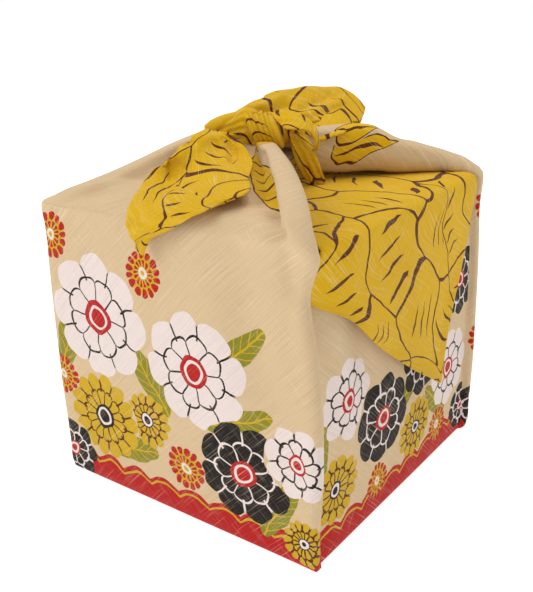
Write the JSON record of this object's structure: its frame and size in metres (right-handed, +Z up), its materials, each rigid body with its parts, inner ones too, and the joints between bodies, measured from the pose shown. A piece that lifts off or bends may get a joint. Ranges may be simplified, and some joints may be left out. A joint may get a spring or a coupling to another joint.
{
  "type": "furoshiki wrap",
  "caption": "Square wrapping cloth folded and tied into a cube-shaped bundle, with a pointed corner hanging over a side face and a carrying knot with leaf-shaped ends on top.",
  "frame": {"origin": "centre of the flat base, on its surface", "axes": "+Z up through the knot, -Y towards the front face, +X towards the face with the hanging corner"},
  "size_m": [0.2125, 0.213, 0.2475],
  "materials": {
    "printed_cotton": "matt slub cotton, printed"
  },
  "bodies": {
    "root": {"furoshiki_cloth": "printed_cotton"}
  },
  "joints": []
}
